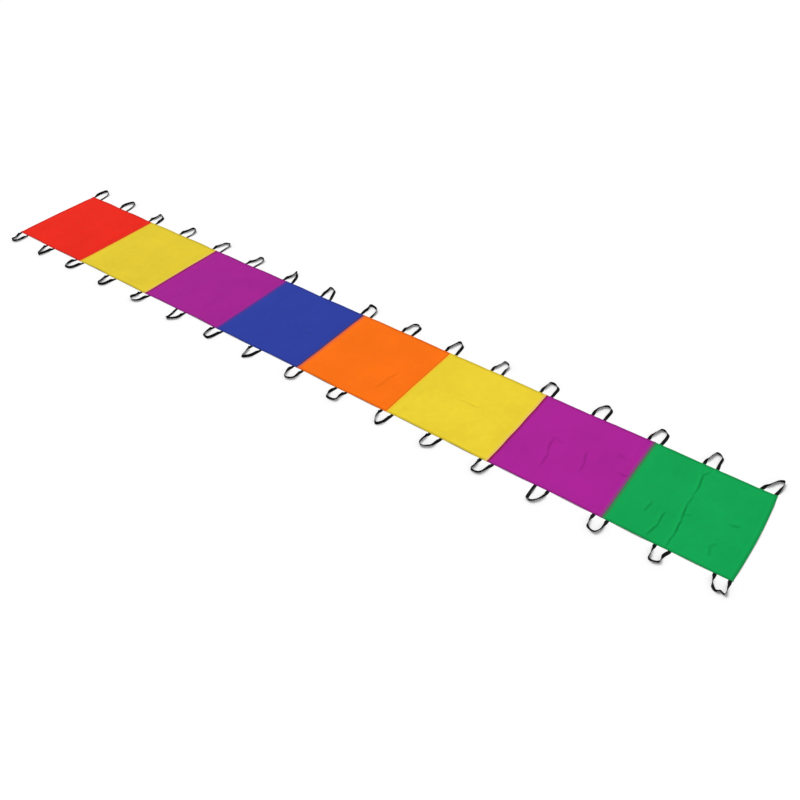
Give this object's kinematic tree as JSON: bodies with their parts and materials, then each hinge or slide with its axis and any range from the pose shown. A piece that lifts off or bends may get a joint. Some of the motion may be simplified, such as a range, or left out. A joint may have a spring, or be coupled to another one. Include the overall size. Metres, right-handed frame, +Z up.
{
  "type": "play parachute",
  "caption": "Long rectangular play parachute: a flat strip of square coloured cloth panels with black webbing hand loops along both long edges.",
  "frame": {"origin": "centre of the laid-out strip's underside, on the surface it lies on", "axes": "+X along the strip from its red end to its green end, +Y across it to the far long edge, +Z up"},
  "size_m": [7.2074, 1.2272, 0.0252],
  "materials": {
    "cloth_red": "plain woven synthetic, slight sheen",
    "cloth_yellow": "plain woven synthetic, slight sheen",
    "cloth_purple": "plain woven synthetic, slight sheen",
    "cloth_blue": "plain woven synthetic, slight sheen",
    "cloth_orange": "plain woven synthetic, slight sheen",
    "cloth_green": "plain woven synthetic, slight sheen",
    "webbing_black": "matte ribbed webbing"
  },
  "bodies": {
    "panel_1": {"cloth_panel_1_red": "cloth_red"},
    "panel_2": {"cloth_panel_2_yellow": "cloth_yellow", "handle_far_03": "webbing_black", "handle_near_03": "webbing_black"},
    "panel_3": {"cloth_panel_3_purple": "cloth_purple", "handle_far_05": "webbing_black", "handle_near_05": "webbing_black"},
    "panel_4": {"cloth_panel_4_blue": "cloth_blue", "handle_far_07": "webbing_black", "handle_near_07": "webbing_black"},
    "panel_5": {"cloth_panel_5_orange": "cloth_orange", "handle_far_09": "webbing_black", "handle_near_09": "webbing_black"},
    "panel_6": {"cloth_panel_6_yellow": "cloth_yellow", "handle_far_11": "webbing_black", "handle_near_11": "webbing_black"},
    "panel_7": {"cloth_panel_7_purple": "cloth_purple", "handle_far_13": "webbing_black", "handle_near_13": "webbing_black"},
    "panel_8": {"cloth_panel_8_green": "cloth_green", "handle_far_15": "webbing_black", "handle_near_15": "webbing_black"},
    "handle_far_01": {"handle_far_01": "webbing_black"},
    "handle_far_02": {"handle_far_02": "webbing_black"},
    "handle_far_04": {"handle_far_04": "webbing_black"},
    "handle_far_06": {"handle_far_06": "webbing_black"},
    "handle_far_08": {"handle_far_08": "webbing_black"},
    "handle_far_10": {"handle_far_10": "webbing_black"},
    "handle_far_12": {"handle_far_12": "webbing_black"},
    "handle_far_14": {"handle_far_14": "webbing_black"},
    "handle_far_16": {"handle_far_16": "webbing_black"},
    "handle_far_17": {"handle_far_17": "webbing_black"},
    "handle_near_01": {"handle_near_01": "webbing_black"},
    "handle_near_02": {"handle_near_02": "webbing_black"},
    "handle_near_04": {"handle_near_04": "webbing_black"},
    "handle_near_06": {"handle_near_06": "webbing_black"},
    "handle_near_08": {"handle_near_08": "webbing_black"},
    "handle_near_10": {"handle_near_10": "webbing_black"},
    "handle_near_12": {"handle_near_12": "webbing_black"},
    "handle_near_14": {"handle_near_14": "webbing_black"},
    "handle_near_16": {"handle_near_16": "webbing_black"},
    "handle_near_17": {"handle_near_17": "webbing_black"}
  },
  "joints": [
    {"name": "handle_far_01_lift", "type": "hinge", "parent": "panel_1", "child": "handle_far_01", "pos_m": [-3.537, 0.45, 0.0016], "axis": [1, 0, 0], "range_deg": [0, 140]},
    {"name": "handle_far_02_lift", "type": "hinge", "parent": "panel_1", "child": "handle_far_02", "pos_m": [-3.136, 0.45, 0.0016], "axis": [1, 0, 0], "range_deg": [0, 140]},
    {"name": "handle_far_04_lift", "type": "hinge", "parent": "panel_2", "child": "handle_far_04", "pos_m": [-2.255, 0.45, 0.0016], "axis": [1, 0, 0], "range_deg": [0, 140]},
    {"name": "handle_far_06_lift", "type": "hinge", "parent": "panel_3", "child": "handle_far_06", "pos_m": [-1.354, 0.45, 0.0016], "axis": [1, 0, 0], "range_deg": [0, 140]},
    {"name": "handle_far_08_lift", "type": "hinge", "parent": "panel_4", "child": "handle_far_08", "pos_m": [-0.442, 0.45, 0.0016], "axis": [1, 0, 0], "range_deg": [0, 140]},
    {"name": "handle_far_10_lift", "type": "hinge", "parent": "panel_5", "child": "handle_far_10", "pos_m": [0.458, 0.45, 0.0016], "axis": [1, 0, 0], "range_deg": [0, 140]},
    {"name": "handle_far_12_lift", "type": "hinge", "parent": "panel_6", "child": "handle_far_12", "pos_m": [1.34, 0.45, 0.0016], "axis": [1, 0, 0], "range_deg": [0, 140]},
    {"name": "handle_far_14_lift", "type": "hinge", "parent": "panel_7", "child": "handle_far_14", "pos_m": [2.242, 0.45, 0.0016], "axis": [1, 0, 0], "range_deg": [0, 140]},
    {"name": "handle_far_16_lift", "type": "hinge", "parent": "panel_8", "child": "handle_far_16", "pos_m": [3.12, 0.45, 0.0016], "axis": [1, 0, 0], "range_deg": [0, 140]},
    {"name": "handle_far_17_lift", "type": "hinge", "parent": "panel_8", "child": "handle_far_17", "pos_m": [3.54, 0.45, 0.0016], "axis": [1, 0, 0], "range_deg": [0, 140]},
    {"name": "handle_near_01_lift", "type": "hinge", "parent": "panel_1", "child": "handle_near_01", "pos_m": [-3.532, -0.45, 0.0016], "axis": [-1, 0, 0], "range_deg": [0, 140]},
    {"name": "handle_near_02_lift", "type": "hinge", "parent": "panel_1", "child": "handle_near_02", "pos_m": [-3.13, -0.45, 0.0016], "axis": [-1, 0, 0], "range_deg": [0, 140]},
    {"name": "handle_near_04_lift", "type": "hinge", "parent": "panel_2", "child": "handle_near_04", "pos_m": [-2.24, -0.45, 0.0016], "axis": [-1, 0, 0], "range_deg": [0, 140]},
    {"name": "handle_near_06_lift", "type": "hinge", "parent": "panel_3", "child": "handle_near_06", "pos_m": [-1.331, -0.45, 0.0016], "axis": [-1, 0, 0], "range_deg": [0, 140]},
    {"name": "handle_near_08_lift", "type": "hinge", "parent": "panel_4", "child": "handle_near_08", "pos_m": [-0.44, -0.45, 0.0016], "axis": [-1, 0, 0], "range_deg": [0, 140]},
    {"name": "handle_near_10_lift", "type": "hinge", "parent": "panel_5", "child": "handle_near_10", "pos_m": [0.462, -0.45, 0.0016], "axis": [-1, 0, 0], "range_deg": [0, 140]},
    {"name": "handle_near_12_lift", "type": "hinge", "parent": "panel_6", "child": "handle_near_12", "pos_m": [1.351, -0.45, 0.0016], "axis": [-1, 0, 0], "range_deg": [0, 140]},
    {"name": "handle_near_14_lift", "type": "hinge", "parent": "panel_7", "child": "handle_near_14", "pos_m": [2.246, -0.45, 0.0016], "axis": [-1, 0, 0], "range_deg": [0, 140]},
    {"name": "handle_near_16_lift", "type": "hinge", "parent": "panel_8", "child": "handle_near_16", "pos_m": [3.135, -0.45, 0.0016], "axis": [-1, 0, 0], "range_deg": [0, 140]},
    {"name": "handle_near_17_lift", "type": "hinge", "parent": "panel_8", "child": "handle_near_17", "pos_m": [3.541, -0.45, 0.0016], "axis": [-1, 0, 0], "range_deg": [0, 140]},
    {"name": "seam_1_fold", "type": "hinge", "parent": "panel_2", "child": "panel_1", "pos_m": [-2.7, 0, 0.0018], "axis": [0, -1, 0], "range_deg": [-170, 0], "deforming": ["handle_far_03", "handle_near_03"]},
    {"name": "seam_2_fold", "type": "hinge", "parent": "panel_3", "child": "panel_2", "pos_m": [-1.8, 0, -0.0002], "axis": [0, 1, 0], "range_deg": [-170, 0], "deforming": ["handle_far_05", "handle_near_05"]},
    {"name": "seam_3_fold", "type": "hinge", "parent": "panel_4", "child": "panel_3", "pos_m": [-0.9, 0, 0.0018], "axis": [0, -1, 0], "range_deg": [-170, 0], "deforming": ["handle_far_07", "handle_near_07"]},
    {"name": "seam_4_fold", "type": "hinge", "parent": "panel_5", "child": "panel_4", "pos_m": [0, 0, -0.0002], "axis": [0, 1, 0], "range_deg": [-170, 0], "deforming": ["handle_far_09", "handle_near_09"]},
    {"name": "seam_5_fold", "type": "hinge", "parent": "panel_6", "child": "panel_5", "pos_m": [0.9, 0, 0.0018], "axis": [0, -1, 0], "range_deg": [-170, 0], "deforming": ["handle_far_11", "handle_near_11"]},
    {"name": "seam_6_fold", "type": "hinge", "parent": "panel_7", "child": "panel_6", "pos_m": [1.8, 0, -0.0002], "axis": [0, 1, 0], "range_deg": [-170, 0], "deforming": ["handle_far_13", "handle_near_13"]},
    {"name": "seam_7_fold", "type": "hinge", "parent": "panel_8", "child": "panel_7", "pos_m": [2.7, 0, 0.0018], "axis": [0, -1, 0], "range_deg": [-170, 0], "deforming": ["handle_far_15", "handle_near_15"]}
  ]
}
